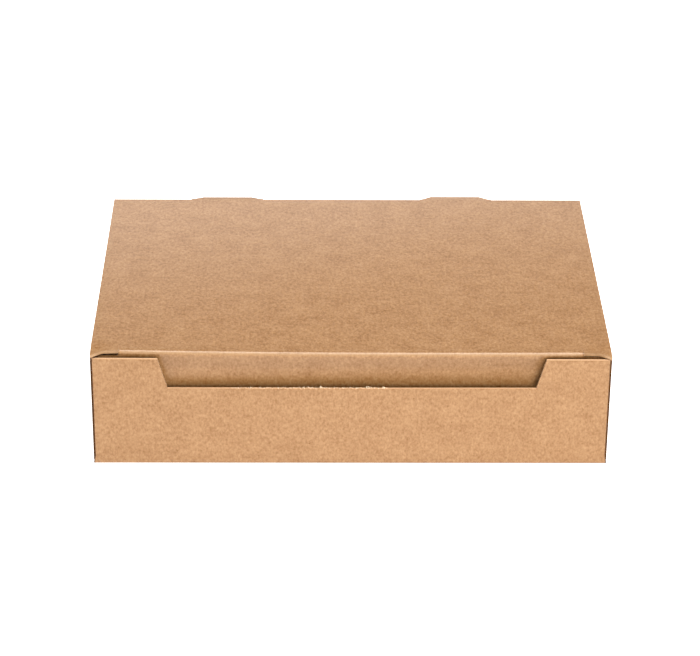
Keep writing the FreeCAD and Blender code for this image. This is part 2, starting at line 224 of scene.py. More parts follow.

# %% [markdown]
# ## One sheet from its panels
#
# Neighbouring panels meet at the same points, so merging doubles turns them into one sheet, as in
# the real box. Three attributes tell the paper what it needs to know:
#
# - flat: a point's place on the flat sheet, X and Y in millimetres, and 0 outside or 1 inside
# - a tone: above 0 paler, where a fold has drawn the liner thin and as a painted highlight, below 0 painted
#   shade
# - waves: how squarely a raw edge cuts across the fluting, from 0 along it to 1
#
# A face is plain liner, raw edge or liner painted dark as shade, and the three materials take their slots in
# that order.


# %% Make an object of several panels
PLAIN, RAW_EDGE, SHADE_FACE = 0, 1, 2  # material slots
SHADE_FACE_FROM = -0.55  # a face with a tone below this gets the painted shade material
WELD = 0.01  # points this near to each other become one
SHARP_FROM = 38  # degrees between two faces, from where their edge isn't shaded smooth


def add_object(name, data):
    """A new object that holds the data, in the scene."""
    obj = bpy.data.objects.new(name, data)
    bpy.context.scene.collection.objects.link(obj)
    return obj


def make_sheet(name, panels, shift=0.0, turned=False):
    """A mesh object from panels that are already bent. Shift moves their flat Y to its place on the sheet.

    Turned panels are half a turn round X, outer face up, as the lid is: y becomes -y, and z the lid's
    top less z.
    """
    keys = ("points", "bent", "pale", "rim", "waves")
    joined = [np.concatenate([panel[key] for panel in panels]) for key in keys]
    flat, points, pale, slots, waves = joined
    flat += [0, shift, 0]
    flat[:, 2] = flat[:, 2] > BOARD / 2
    if turned:
        points = points * [1, -1, -1] + [0, 0, LID_TOP]
    starts = np.cumsum([0] + [len(panel["points"]) for panel in panels])
    faces = np.concatenate([panel["faces"] + start for panel, start in zip(panels, starts)])
    mesh = bpy.data.meshes.new(name)
    mesh.from_pydata((points * MM).tolist(), [], faces.tolist())
    # Faces drawn darkest get the painted shade material.
    slots[pale[faces].mean(1) < SHADE_FACE_FROM] = SHADE_FACE
    mesh.polygons.foreach_set("material_index", slots)
    stores = {
        "flat": ("FLOAT_VECTOR", "POINT", "vector", flat),
        "stretch_and_painted_light": ("FLOAT", "POINT", "value", pale),
        "waves": ("FLOAT", "FACE", "value", waves),
    }
    for label, (kind, domain, field, values) in stores.items():
        store = mesh.attributes.new(label, kind, domain)
        store.data.foreach_set(field, values.astype(np.float32).ravel())
    obj = add_object(name, mesh)
    merge_doubles(mesh)
    mesh.shade_smooth()
    mesh.set_sharp_from_angle(angle=math.radians(SHARP_FROM))
    low, high = points.min(0).round(2), points.max(0).round(2)
    print(f"{name}: {len(mesh.polygons)} faces, from {low} to {high} mm")
    return obj


def merge_doubles(mesh):
    """Joins points that lie nearer to each other than WELD, and counts the edges that stay open."""
    work = bmesh.new()
    work.from_mesh(mesh)
    bmesh.ops.remove_doubles(work, verts=work.verts, dist=WELD * MM)
    open_edges = sum(1 for edge in work.edges if len(edge.link_faces) != 2)
    work.to_mesh(mesh)
    work.free()
    mesh.update()
    # An open edge has one face only. Some are left where two panels miss each other by up to 0.2 mm.
    print(f"{mesh.name}: {open_edges} open edges")


# %% [markdown]
# ## Board is never quite flat
#
# A board panel holds a slight bow from the roll that its paper came from, and it is what keeps a large
# plain panel from looking like glass. The bow has to be gone by the creases, which hold the board
# straight, so it is a product of half waves that end there.


# %% Bow of a panel
RIPPLE = (7.3, 2.1, 0.6)  # the short wave's turn over each span, in radians, and where it starts


def bow(points, u_span, v_span, depth, ripple=0.0):
    """Moves a panel's points along their normal by depth times a half wave over each of its two spans.

    A ripple adds a shorter, slanted sine of that height, which dies out in the same way, so that the bow
    isn't the same all over.
    """
    u = ramp(points[..., 0], *u_span)
    v = ramp(points[..., 1], *v_span)
    swell = np.sin(math.pi * u) * np.sin(math.pi * v)
    slanted = np.sin(RIPPLE[0] * u + RIPPLE[1] * v + RIPPLE[2])
    bowed = points.copy()
    bowed[..., 2] += (depth + ripple * slanted) * swell
    return bowed


highest = bow(np.array([[5.0, 5.0, 0.0]]), (0, 10), (0, 10), depth=0.2)[0, 2]
print(f"a bow of 0.2 mm moves the middle of its panel by {highest:.2f} mm")

# %% [markdown]
# ## The tray: front wall, floor and back wall
#
# These three are one strip of the sheet. Its grid runs from the front wall's top edge, under the floor
# and up to the rear crease. The thumb cut-out and the notches behind the lid's tabs only change where the
# top edges lie, so each column of the wall is simply stretched to the height of the edge above it.

# %% Edges of the front and the back wall
CUTOUT_TOP = np.array([-115.7, 116.7])  # its two ends at the wall's top edge
CUTOUT_LOW = CUTOUT_TOP - [-5.7, 5.7]  # and at its bottom
CUTOUT_FLOOR = WALL_TOP - 19.2
CREPT_UP = (0.8, 0.6, 0.3, 0.2)  # how far the wall has risen: left end, at the cut-out's two ends, right end
TAB_MIDDLES = (-80.0, 72.0)  # the rear tabs aren't quite centred
TAB_BASE = 22.0  # half widths of a rear tab at the crease and at its free edge
TAB_TIP = 16.0
TAB_MOUTH = 24.0  # with the flare that runs into the crease
ROOM = 0.4  # between a rear tab and its notch
NOTCH_STEP = HINGE_Z - BOARD
NOTCH_FLOOR = NOTCH_STEP - (TAB_END - HINGE_Y) - ROOM
RAGGED = (-72.0, 22.0)  # the stretch of the cut-out's bottom that a worn die left rough
RAGGED_FADE = 12.0  # over which the roughness grows at each end of the stretch
RAGGED_HEIGHT = 0.42
RAGGED_WAVES = ((1.31, 0.4), (1.93, 2.2), (2.87, 1.1), (4.6, 0.7), (7.9, 2.9))  # length, start in radians


def front_edge(x):
    """Height of the front wall's top edge: level, down a slope at each side of the cut-out, level below.

    The wall of a used box has crept up a little in its glued corners, most at the left.
    """
    stops = [-PANEL_SIDE, CUTOUT_TOP[0], CUTOUT_LOW[0], CUTOUT_LOW[1], CUTOUT_TOP[1], PANEL_SIDE]
    left_end, left, right, right_end = [WALL_TOP + rise for rise in CREPT_UP]
    heights = [left_end, left, CUTOUT_FLOOR, CUTOUT_FLOOR, right, right_end]
    return ragged_edge(x, np.interp(x, stops, heights))


def back_edge(x):
    """Height of the back wall's top edge: level with the crease, lower in the two notches."""
    from_tab = np.min([np.abs(x - middle) for middle in TAB_MIDDLES], axis=0)
    return np.interp(from_tab, [TAB_TIP + ROOM, TAB_BASE + ROOM], [NOTCH_FLOOR, NOTCH_STEP])


def ragged_edge(x, height):
    """Adds a rough cut to an edge: the mean of five sines of unlike wavelengths, faded in at each end."""
    fade = ramp(x - RAGGED[0], 0, RAGGED_FADE) * ramp(RAGGED[1] - x, 0, RAGGED_FADE)
    rough = sum(np.sin(2 * math.pi * x / length + start) for length, start in RAGGED_WAVES)
    return height + RAGGED_HEIGHT * fade * rough / len(RAGGED_WAVES)


SHADE_LINE_WIDTH = 0.7  # width of the painted shade line along the walls' raw side edges, for the crevice at each corner
notch_stops = [m + s * h for m in TAB_MIDDLES for s in (-1, 1) for h in (TAB_TIP + ROOM, TAB_BASE + ROOM)]
cutout_stops = [*CUTOUT_TOP, *CUTOUT_LOW]
rim_stops = [s * (PANEL_SIDE - inset) for s in (-1, 1) for inset in (0, SHADE_LINE_WIDTH / 2, SHADE_LINE_WIDTH)]
coarse = spaced(*sorted(rim_stops + notch_stops + cutout_stops), step=3.5)
fine = spaced(*RAGGED, step=0.65)
clear_of_fine = np.abs(coarse[:, None] - fine).min(1) > 0.05
wall_lines = np.sort(np.concatenate([coarse[clear_of_fine], fine]))
print(f"{len(wall_lines)} lines over the walls, cut-out down to {CUTOUT_FLOOR:.1f} mm")

# %% [markdown]
# The flat length of the strip is measured over the board's outside: half the floor, the quarter circle of
# the fold, and then the wall. Rows over the floor are a little narrower than over the walls, because the
# side walls start there.

# %% Flat places on the strip
WALL_START = END_FOLD + QUARTER  # on the flat sheet, where a wall starts above its fold
FLAP_FRONT = -101.6  # the dust flaps' edges on the side walls
FLAP_REAR = 102.5
SHADE_LINE_BLUR = 0.3  # over which that painted shade line fades into the wall
SHADE_LINE_FOOT = 0.6  # how far past the floor's end it starts
CONTACT_SHADE = 0.3  # how much darker the bottom folds are drawn: painted contact shade against the floor
FLARE = 0.8  # how far the walls' raw edges are squeezed outwards at the bottom corners
FLARE_TOP = 3.5  # height over which that dies out
FLARE_SIDE = 7.0  # and width
WIDENS = 0.01  # how far past the floor's end the strip steps out to the walls' width
FRONT_BOW = (-0.25, 0.1)  # depth and ripple of the front wall's bow, which goes on past its free edge
FRONT_BOW_SPAN = 90.0
BACK_BOW = -0.2
BACK_BOW_SPAN = 69.0
fold_rows = spaced(0, QUARTER, step=0.4)[:-1]
floor_rows = spaced(-SIDE_END, FLAP_FRONT, FLAP_REAR, SIDE_END, step=5.0)
print(f"the walls start {WALL_START:.2f} mm from the middle of the sheet")


# %% Lay out and fold the strip
def wall_rows(edge, share):
    """Flat distances of a wall's rows from the middle of the floor: a share of the way up to its edge."""
    return WALL_START + (edge(wall_lines) - FOLD) * share[:, None]


up = spaced(0, 1, step=0.06)
front_rows = -wall_rows(front_edge, up[::-1])
back_rows = wall_rows(back_edge, up)
to_wall = np.concatenate([[END_FOLD, END_FOLD + WIDENS], END_FOLD + fold_rows[1:]])
middle_rows = np.concatenate([-to_wall[::-1], floor_rows, to_wall])
middle_rows = np.repeat(middle_rows[:, None], len(wall_lines), 1)
strip_v = np.concatenate([front_rows, middle_rows, back_rows])
past_floor = np.abs(strip_v) - END_FOLD
over_floor = past_floor < WIDENS / 2
strip_u = np.where(over_floor, np.clip(wall_lines, -SIDE_FOLD, SIDE_FOLD), wall_lines)
inset = PANEL_SIDE - np.abs(strip_u)
# A dark line along the walls' side edges: painted shade for the crevice where a side wall's fold meets the
# raw edge.
painted_shade = ramp(SHADE_LINE_WIDTH - inset, 0, SHADE_LINE_BLUR) * (past_floor > SHADE_LINE_FOOT)
# The bottom folds are drawn darker: painted contact shade where they meet the floor.
contact_shade = CONTACT_SHADE * np.sin(math.pi * ramp(past_floor, 0, QUARTER))
near_floor = 1 - ramp(past_floor - QUARTER, 0, FLARE_TOP)
near_side = 1 - ramp(inset, 0, FLARE_SIDE)
strip_u = strip_u + np.sign(strip_u) * FLARE * np.where(over_floor, 0, near_floor * near_side)


def raw_side(u, v):
    """Where the strip's sides were cut: along the walls. Along the floor the side walls join on."""
    return np.abs(v) > SIDE_END


cut = {"first_row": True, "last_row": True, "first_column": raw_side, "last_column": raw_side}
strip = lay_panel(strip_u, strip_v, cut)


def stand_walls_up(points):
    """Folds the front and the back wall up from the floor."""
    across = (-PANEL_SIDE, PANEL_SIDE)
    bowed = bow(points, across, (-WALL_START - FRONT_BOW_SPAN, -WALL_START), *FRONT_BOW)
    bowed = bow(bowed, across, (WALL_START, WALL_START + BACK_BOW_SPAN), BACK_BOW)
    return fold(fold(bowed, 1, END_FOLD), 1, END_FOLD, side=-1)


strip["bent"] = stand_walls_up(strip["points"])
# The walls' side edge lines and the bottom folds are drawn darker: painted shade.
strip["pale"][: strip_v.size] = -np.maximum(painted_shade, contact_shade).ravel()
print("strip from", strip["bent"].min(0).round(2), "to", strip["bent"].max(0).round(2))

# %% [markdown]
# ## The tray: side walls, dust flaps and corner tabs
#
# A side wall folds up from the floor, its dust flap folds in from its top edge, and a tab turns in from
# each of its ends and is glued behind the front or the back wall. A folder bends the outer creases first,
# while the sheet is still flat, and so does the code: each later fold then carries all that hangs on it.

# %% Flat places on a side wall
SIDE_START = SIDE_FOLD + QUARTER  # on the flat sheet, where the side wall starts above its fold
DUST_FOLD = SIDE_START + DUST_TOP - 2 * FOLD  # where it turns into the dust flap
DUST_START = DUST_FOLD + QUARTER
DUST_LENGTH = 60.0  # of the flap's flat part
DUST_TAPER = 5.0  # how much nearer its sides are to each other at its free edge, on each side
DUST_CORNER = 8.0  # radius
TAB_FOOT = SIDE_START + 0.2  # the corner tabs' lower edge
TAB_START = SIDE_END + QUARTER
TAB_LENGTH = 28.0
TAB_TAPER = 6.0
TAB_LIFT = 1.2  # how much higher than the wall's fold the tab's top comes, within TAB_LIFT_SPAN
TAB_LIFT_SPAN = 3.0
SIDE_BOW = -0.2
BELLY = {-1: 0.1, 1: 0.35}  # how far each side wall is pushed outwards
BELLY_AHEAD = 1.6  # above 1 the belly lies nearer to the front
CORNER_SHADE_TURN = (25.0, 33.0, 80.0, 100.0)  # degrees round a corner: painted shade line starts, full, full, ends
CORNER_SHADE_HEIGHT = (0.8, 1.0)  # how dark it is at the bottom and at the top
print(f"a dust flap starts {DUST_START:.2f} mm from the middle of the sheet")


# %% Outlines and bends of the sides
def rounded(distance, radius):
    """How far an outline with a rounded corner lies inside the sharp one, at a distance from its end."""
    inside = 1 - ramp(distance, 0, radius)
    return radius * (1 - np.sqrt(1 - inside**2))


def corner_rows(end, radius, step):
    """Rows over a rounded corner before an end, at equal steps of so many degrees round it."""
    return end - radius * (1 - np.sin(np.radians(spaced(0, 90, step=step)[1:])))


def belly(points, side):
    """Pushes a side wall outwards at its top: a half wave from rear to front, most ahead of the middle."""
    share = ramp(points[..., 1], SIDE_END, -SIDE_END) ** BELLY_AHEAD
    rise = ramp(points[..., 2], 0, DUST_TOP)
    pushed = points.copy()
    pushed[..., 0] += side * BELLY[side] * np.sin(math.pi * share) * np.sin(math.pi / 2 * rise)
    return pushed


def corner_shade(points, end):
    """Painted shade on a glued corner's fold, for the crevice beside the wall's edge: full where it turns in
    behind the wall, most at its top.
    """
    turned = np.degrees((end * points[:, 1] - SIDE_END) / FOLD)
    around = np.interp(turned, CORNER_SHADE_TURN, [0, 1, 1, 0])
    height = np.interp(np.abs(points[:, 0]), [TAB_FOOT, DUST_FOLD], CORNER_SHADE_HEIGHT)
    return around * height * (points[:, 2] < BOARD / 2)


half_way = rounded(DUST_CORNER / 2, DUST_CORNER)
print(f"half-way round its corner, a dust flap is {half_way:.2f} mm narrower on each side")


# %% Lay out and fold the sides
def past_flap(u, v):
    """Where the die cut a side wall's top edge: in front of its dust flap and behind it."""
    return (v < FLAP_FRONT) | (v > FLAP_REAR)


def below_tab(u, v):
    """Where it cut the wall's ends: below the corner tabs."""
    return np.abs(u) < TAB_FOOT


def side_panels(side):
    """The four panels of one side: the wall, its dust flap and its two corner tabs."""
    rows = np.concatenate([SIDE_FOLD + fold_rows, [SIDE_START], spaced(TAB_FOOT, DUST_FOLD)])
    cut = {"last_row": past_flap, "first_column": below_tab, "last_column": below_tab}
    wall = lay_panel(side * rows[:, None], floor_rows[None, :], cut)
    up_wall = (side * SIDE_START, side * DUST_FOLD)
    wall["points"] = bow(wall["points"], up_wall, (-SIDE_END, SIDE_END), SIDE_BOW)

    flap_end = DUST_START + DUST_LENGTH
    rows = [DUST_FOLD + fold_rows, spaced(DUST_START, flap_end - DUST_CORNER)]
    rows = np.concatenate(rows + [corner_rows(flap_end, DUST_CORNER, step=10)])
    columns = floor_rows[(floor_rows >= FLAP_FRONT) & (floor_rows <= FLAP_REAR)]
    span = (columns - FLAP_FRONT) / (FLAP_REAR - FLAP_FRONT)
    taper = DUST_TAPER * ramp(rows - DUST_START, 0, DUST_LENGTH)
    taper += rounded(flap_end - rows, DUST_CORNER)
    low, high = FLAP_FRONT + taper, FLAP_REAR - taper
    flap = lay_panel(side * rows[:, None], low[:, None] + (high - low)[:, None] * span, THREE_EDGES)

    tabs = []
    for end in (-1, 1):
        out = np.concatenate([SIDE_END + fold_rows, spaced(TAB_START, TAB_START + TAB_LENGTH)])
        height = spaced(TAB_FOOT, DUST_FOLD)
        taper = TAB_TAPER * ramp(out - TAB_START, 0, TAB_LENGTH)[:, None]
        share = (height - TAB_FOOT) / (DUST_FOLD - TAB_FOOT)
        places = TAB_FOOT + taper + (DUST_FOLD - TAB_FOOT - 2 * taper) * share
        places += TAB_LIFT * share * ramp(out - TAB_START, 0, TAB_LIFT_SPAN)[:, None]
        tab = lay_panel(side * places, end * out[:, None], THREE_EDGES)
        tab["bent"] = fold(tab["points"], 1, SIDE_END, side=end)
        # Painted shade on the corner folds.
        tab["pale"] = -corner_shade(tab["points"], end)
        tabs.append(tab)
    wall["bent"] = wall["points"]
    flap["bent"] = fold(flap["points"], 0, DUST_FOLD, side=side)
    for panel in [wall, flap] + tabs:
        panel["bent"] = belly(fold(panel["bent"], 0, SIDE_FOLD, side=side), side)
    return [wall, flap] + tabs


tray = make_sheet("tray_board", [strip] + side_panels(-1) + side_panels(1))
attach(tray, "tray")
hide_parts("tray")

# %% [markdown]
# ## The lid
#
# The lid is the rest of the same sheet, turned over on top. Its front fold leans the tuck flap in a few
# degrees past square, which is what makes it grip. The fold stops short of the lid's corners: a slit on
# each side lets the flap turn down while the corner stays flat, as a small ear.

# %% Flat places on the lid, measured forwards from its middle
LEAN = 5.0  # degrees past square
TUCK = 90 + LEAN  # degrees that the flap is folded by
TUCK_Y = -106.3  # where the lid's top and the flap's outside would meet if their fold were sharp
SHARP = FOLD * math.tan(math.radians(TUCK) / 2)  # from there to where the fold starts
FRONT_FOLD = -TUCK_Y - SHARP
FLAP_START = FRONT_FOLD + FOLD * math.radians(TUCK)
FLAP_END = FLAP_START + (LID_TOP - FLAP_LOW) / math.cos(math.radians(LEAN)) - SHARP
FLAP_SIDE = LID_SIDE - 7.0  # half width of the flap below its shoulders
FLAP_TAPER = 6.0  # how much narrower it is at its free edge, on each side
FLAP_CORNER = 12.0  # radius
SQUEEZED = 12.0  # the flap's grid is squeezed to its outline from this far inside the fold's end
FLAP_BOW = (0.5, 2.6)  # how far the flap bows inwards, at its left and its right end
FLAP_SHADE_REACH = 12.0  # the flap's top stretch, drawn darker as painted shade, down to here
FLAP_SHADE_FADE = 5.0
FLAP_SHADE = 0.22  # how much darker that painted shade makes it
SLIT_START = -TUCK_Y - 2 * FOLD  # rear end of the slits
CREASE_END = LID_SIDE - 16.9  # the front fold's end, and the slit's inner side
CREASE_FADE = 2.5  # over which the fold's paleness dies out at each of its ends
SLIT_SIDE = CREASE_END + 0.15  # the slit's outer side
SLIT_BEND = LID_SIDE - 7.5  # where an ear's front edge turns out to its nose
SLIT_DEPTH = -TUCK_Y - 0.1  # the ears lie over the flap's shoulders
SHOULDER_SIDE = LID_SIDE - 4  # half width of the flap at its shoulders
SHOULDER_GAP = (1.2, 0.35)  # how far the left and the right shoulder lie below the fold
SHOULDER_OUT = 0.45  # how far they stand out before the flap, clear of the ears' shade
SHOULDER_EASE = 2.0  # over this far on each side of the fold's end
EAR_NOSE = LID_SIDE - 1  # where the nose is blunt
EAR_HIGHLIGHT = 0.8  # a painted highlight along the ears' front edge
EAR_HIGHLIGHT_WIDTH = 2.0
TAB_FLARE = 0.7  # how much wider a rear tab is where it leaves the crease, over TAB_FLARE_SPAN
TAB_FLARE_SPAN = 0.5
CREASE_PAST = 0.19  # how far the rear crease's own strip runs on into the lid
CREASE_LINE = -(END_FOLD - CREASE_PAST)  # where it ends
LID_BOW = (0.1, 0.35)  # depth and ripple
mouths = [m + s * TAB_MOUTH for m in TAB_MIDDLES for s in (-1, 1)]
ear_stops = [s * x for s in (-1, 1) for x in (CREASE_END, SLIT_SIDE, SLIT_BEND, EAR_NOSE, LID_SIDE)]
lid_lines = spaced(*sorted(mouths + ear_stops), step=3.0)
print(f"flap from {FLAP_START:.2f} to {FLAP_END:.2f} mm on the flat lid")

# %% [markdown]
# The closed lid of a used box doesn't lie quite level. Its front edge sags a little between the corners,
# where the flap's grip holds it up, more at the left than at the right, and both ears hang over their
# corner. All of this grows from nothing at the rear crease, so that the lid still meets its hinge.

# %% How the closed lid lies
SAG_MIDDLE = 25.0  # where the front edge is lowest
SAG_DEPTH = 0.08
SAG_SPAN = 147.0  # from there to where it has risen by CORNER_RISE
CORNER_RISE = (1.33, 0.4)  # towards the left and towards the right
RISE_POWER = 1.3  # above 1 the lid rises mostly near its front
LID_SPREAD = 0.002  # how much wider the lid lies at its front than at its crease
EAR_DROP = (1.3, 0.6)  # of the left and the right ear's outer corner
DROP_POWER = 1.5
DROP_BEHIND = 8.0  # the drop starts this far behind the slit
DROP_INSIDE = 3.0  # and this far inside it
TAB_DROOP = (0.9, 0.3)  # of the left and the right rear tab's free edge


def settle(points):
    """Lifts the lid's front corners and drops its ears. Heights are measured down from the lid's top.

    The lift is a parabola over x, low at the sag's middle, times a power of the share of the way from
    crease to front. An ear drops with its distance past the slit's start, and more towards the lid's side.
    A rear tab droops in proportion to the distance behind the hinge.
    """
    x, forward = points[..., 0], points[..., 1]
    share = ramp(forward, CREASE_LINE, FRONT_FOLD)
    lift = np.where(x < SAG_MIDDLE, *CORNER_RISE) * ((x - SAG_MIDDLE) / SAG_SPAN) ** 2 - SAG_DEPTH
    past = ramp(forward, SLIT_START - DROP_BEHIND, FACE)
    out = ramp(np.abs(x), SLIT_SIDE - DROP_INSIDE, LID_SIDE)
    drop = np.interp(x, [-LID_SIDE, LID_SIDE], EAR_DROP) * out**DROP_POWER * past**DROP_POWER
    drop += ramp(-forward, HINGE_Y, TAB_END) * np.where(x < 0, *TAB_DROOP)
    settled = points.copy()
    settled[..., 0] *= 1 + LID_SPREAD * share
    settled[..., 2] += drop - lift * share**RISE_POWER
    return settled


ear_tips = np.array([[-LID_SIDE, FACE, 0], [LID_SIDE, FACE, 0]])
print("the ears' outer corners settle by", settle(ear_tips)[:, 2].round(2), "mm, downwards")

# %% [markdown]
# The lid's panels follow: its flat top, the fold in front, the tuck flap, an ear at each front corner and
# the two rear tabs. The die leaves a raw edge wherever a panel doesn't run on into the next one.


# %% The flat top and its front fold
def beside_tabs(u, v):
    """Where the die cut the rear edge apart from the crease's strip: all but the tabs' mouths."""
    return np.min([np.abs(u - middle) for middle in TAB_MIDDLES], axis=0) >= TAB_MOUTH


def in_slit(u, v):
    """Where it cut the front edge apart from the flap's."""
    return (np.abs(u) > CREASE_END) & (np.abs(u) < SLIT_SIDE)


cut = BOTH_SIDES | {"first_row": beside_tabs, "last_row": in_slit}
rows = spaced(CREASE_LINE, 0, 90, SLIT_START)
top = lay_panel(lid_lines[None, :], rows[:, None], cut)
top["bent"] = bow(top["points"], (-LID_SIDE, LID_SIDE), (CREASE_LINE, SLIT_START), *LID_BOW)

fold_lines = lid_lines[np.abs(lid_lines) <= CREASE_END + WELD]
rows = np.concatenate([[SLIT_START], spaced(FRONT_FOLD, FLAP_START, step=0.4)])
front = lay_panel(fold_lines[None, :], rows[:, None], BOTH_SIDES)
front["bent"] = fold(front["points"], 1, FRONT_FOLD, degrees=TUCK)
# The front fold is drawn paler, fading out at its ends: partly the stretched liner, partly a painted
# highlight.
ends = ramp(CREASE_END - np.abs(front["points"][:, 0]), 0, CREASE_FADE)
front["pale"] = stretch_and_painted_light(front["points"], 1, FRONT_FOLD, degrees=TUCK) * ends
front["rim"][front["rim"] == RAW_EDGE] = SHADE_FACE  # its cut ends in the slits get the dark material: painted shade in the slits
print(len(top["faces"]), "faces in the flat top,", len(front["faces"]), "in its front fold")


# %% The tuck flap
def tuck_side(forward):
    """Half width of the tuck flap: flared at its shoulder, narrower to its free edge, corners rounded."""
    share = ramp(forward, FLAP_START, FLAP_END)
    flare = (SHOULDER_SIDE - FLAP_SIDE) * np.clip(1 - share * 4, 0, 1) ** 2
    return FLAP_SIDE - FLAP_TAPER * share + flare - rounded(FLAP_END - forward, FLAP_CORNER)


def on_shoulder(u, v):
    """Where the die cut the flap's top edge: outside the fold."""
    return np.abs(u) > CREASE_END


def tuck_flap():
    """The flap. Its outermost stretch is squeezed to its outline, and it bows inwards before it is folded."""
    shoulder = spaced(CREASE_END, SHOULDER_SIDE, step=1.2)[1:]
    lines = np.concatenate([-shoulder[::-1], fold_lines, shoulder])
    rows = spaced(FLAP_START, FLAP_START + 8, FLAP_END - FLAP_CORNER, step=2.0)
    rows = np.concatenate([rows, corner_rows(FLAP_END, FLAP_CORNER, step=9)])
    inner = CREASE_END - SQUEEZED
    over = np.clip(np.abs(lines) - inner, 0, None)
    squeeze = (tuck_side(rows) - inner) / (SHOULDER_SIDE - inner)
    u = np.sign(lines) * (np.minimum(np.abs(lines), inner) + over * squeeze[:, None])
    v = np.repeat(rows[:, None], len(lines), 1)
    is_shoulder = np.abs(lines) > CREASE_END + WELD
    v[0, is_shoulder] += np.where(lines[is_shoulder] < 0, *SHOULDER_GAP)
    flap = lay_panel(u, v, THREE_EDGES | {"first_row": on_shoulder})

    across, down, depth = flap["points"].T
    share = ramp(down, FLAP_START, FLAP_END)
    bowed = flap["points"].copy()
    bowed[:, 2] += np.interp(across, [-CREASE_END, CREASE_END], FLAP_BOW) * np.sin(math.pi * share)
    bowed[:, 2] -= SHOULDER_OUT * ramp(np.abs(across), CREASE_END - SHOULDER_EASE, CREASE_END + SHOULDER_EASE)
    flap["bent"] = fold(bowed, 1, FRONT_FOLD, degrees=TUCK)
    # The flap's top is drawn darker on its outside: painted shade.
    shaded_top = ramp(FLAP_START + FLAP_SHADE_REACH - down, 0, FLAP_SHADE_FADE)
    flap["pale"] = -FLAP_SHADE * shaded_top * (depth < BOARD / 2)
    x, y, _ = flap["points"][flap["faces"]].mean(1).T
    shaded_rims = on_shoulder(x, y) & (y < FLAP_START + max(SHOULDER_GAP) + 0.1)
    flap["rim"][shaded_rims] = PLAIN  # these cut edges get the liner's darker colour instead of the raw edge's: painted shade under the ears
    return flap


flap = tuck_flap()
print("half width of the flap:", tuck_side(np.array([FLAP_START, FLAP_END])).round(1), "mm")


# %% The ears and the rear tabs
def ear_front(x):
    """How far forwards an ear reaches: as far as the slit, then out to the blunt nose at the corner."""
    return np.interp(np.abs(x), [SLIT_BEND, EAR_NOSE], [SLIT_DEPTH, FACE])


def ear(side):
    """The lid's corner outside a slit."""
    lines = lid_lines[side * lid_lines >= SLIT_SIDE - WELD]
    v = SLIT_START + (ear_front(lines) - SLIT_START) * spaced(0, 1, step=0.25)[:, None]
    made = lay_panel(lines[None, :], v, THREE_EDGES)
    made["rim"][:] = PLAIN  # its cut edges get the liner's colour, not the raw edge's
    # A band along the front edge is drawn paler: a painted highlight.
    to_edge = ear_front(made["points"][:, 0]) - made["points"][:, 1]
    made["pale"] = EAR_HIGHLIGHT * (1 - ramp(to_edge, 0, EAR_HIGHLIGHT_WIDTH))
    return made


def tab_side(back):
    """Half width of a rear tab at a distance behind the box's middle: its mouth, then a slope to the tip."""
    slope = np.interp(back, [HINGE_Y, TAB_END], [TAB_BASE, TAB_TIP])
    flare = TAB_FLARE * (1 - ramp(back - HINGE_Y, 0, TAB_FLARE_SPAN)) ** 2
    return np.where(back <= HINGE_Y, TAB_MOUTH, slope + flare)


def rear_tab(middle):
    """A tab that was cut out of the back wall, and now stands out behind the lid."""
    lines = lid_lines[np.abs(lid_lines - middle) <= TAB_MOUTH + WELD]
    back = HINGE_Y + spaced(0.01, 0.6, TAB_END - HINGE_Y, step=0.5)
    back = np.concatenate([[-CREASE_LINE, END_FOLD, HINGE_Y], back])
    u = middle + (lines - middle) * tab_side(back)[:, None] / TAB_MOUTH
    return lay_panel(u, -back[:, None], THREE_EDGES)


panels = [top, front, flap, ear(-1), ear(1)] + [rear_tab(middle) for middle in TAB_MIDDLES]
for panel in panels:
    panel["bent"] += settle(panel["points"]) - panel["points"]
LID_SHIFT = WALL_START + CREASE_Z - FOLD + QUARTER + END_FOLD  # flat Y of the lid's middle on the sheet
lid = make_sheet("lid_board", panels, shift=LID_SHIFT, turned=True)
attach(lid, "lid")
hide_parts("lid")

# %% [markdown]
# ## The rear crease
#
# The lid's hinge is nothing but board, bent again and again along one line. The two tabs interrupt it.

# %% Fold the crease and blend it
crease_low = WALL_START + NOTCH_STEP - FOLD
crease_fold = WALL_START + CREASE_Z - FOLD
crease_high = crease_fold + QUARTER + CREASE_PAST
rows = np.concatenate([[crease_low], spaced(crease_fold, crease_fold + QUARTER, step=0.16), [crease_high]])
span = (rows - crease_low) / (crease_high - crease_low)
gaps = [m + s * (TAB_MOUTH + 0.2) for m in TAB_MIDDLES for s in (-1, 1)]
edges = [-LID_SIDE, *gaps, LID_SIDE]
crease_parts = []
for left, right in zip(edges[::2], edges[1::2]):
    lines = spaced(left, right)[None, :]
    at_wall = np.clip(lines, -PANEL_SIDE, PANEL_SIDE)
    u = at_wall + (lines - at_wall) * span[:, None]
    part = lay_panel(u, rows[:, None], THREE_EDGES | {"first_row": True})
    part["bent"] = stand_walls_up(fold(part["points"], 1, crease_fold))
    # The rear crease is drawn paler: partly the stretched liner, partly a painted highlight.
    part["pale"] = stretch_and_painted_light(part["points"], 1, crease_fold)
    crease_parts.append(part)
crease = make_sheet("rear_crease", crease_parts)
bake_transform(crease)

# %% [markdown]
# ## Torn fibres on the cut-out
#
# A worn die crushes the last fibres of the board instead of cutting them, and leaves a fuzz on the edge.
# It shows where the light catches it, along the middle of the cut-out. Hair would do, but a few hundred
# tapered slivers are cheaper, and they survive the export.

